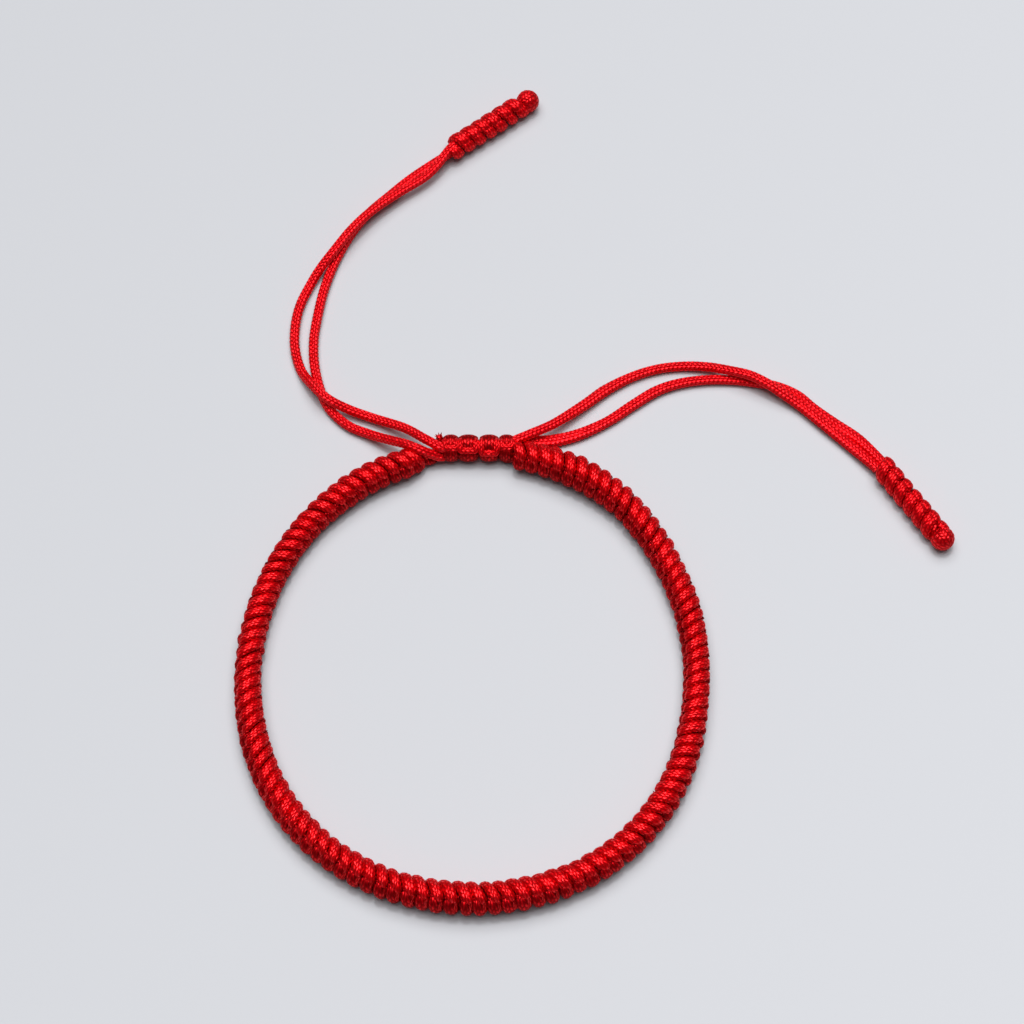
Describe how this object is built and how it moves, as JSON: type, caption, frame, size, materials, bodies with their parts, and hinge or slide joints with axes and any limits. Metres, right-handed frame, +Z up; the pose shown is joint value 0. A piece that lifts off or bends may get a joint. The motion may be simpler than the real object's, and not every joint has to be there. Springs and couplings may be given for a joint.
{
  "type": "sliding knot bracelet",
  "caption": "Round band of knotted red cord that closes with a sliding knot, with paired free cords that end in barrel knots.",
  "frame": {"origin": "on the resting surface, under the middle of the box round the wrist loop and the sliding knot", "axes": "+Z up and along the wrist, +Y towards the sliding knot, +X to the right with the sliding knot at the back"},
  "size_m": [0.1047, 0.1329, 0.0045],
  "materials": {
    "band_cord": "satin braided cord, tightly knotted",
    "slide_cord": "satin braided cord, tightly knotted",
    "tail_cord": "satin braided cord",
    "end_cord": "satin braided cord, tightly wound"
  },
  "bodies": {
    "root": {"knotted_band": "band_cord", "sliding_knot": "slide_cord", "cut_end": "slide_cord", "left_tail_outer": "tail_cord", "left_tail_inner": "tail_cord", "left_end_knot": "end_cord", "right_tail_upper": "tail_cord", "right_tail_lower": "tail_cord", "right_end_knot": "end_cord"}
  },
  "joints": []
}
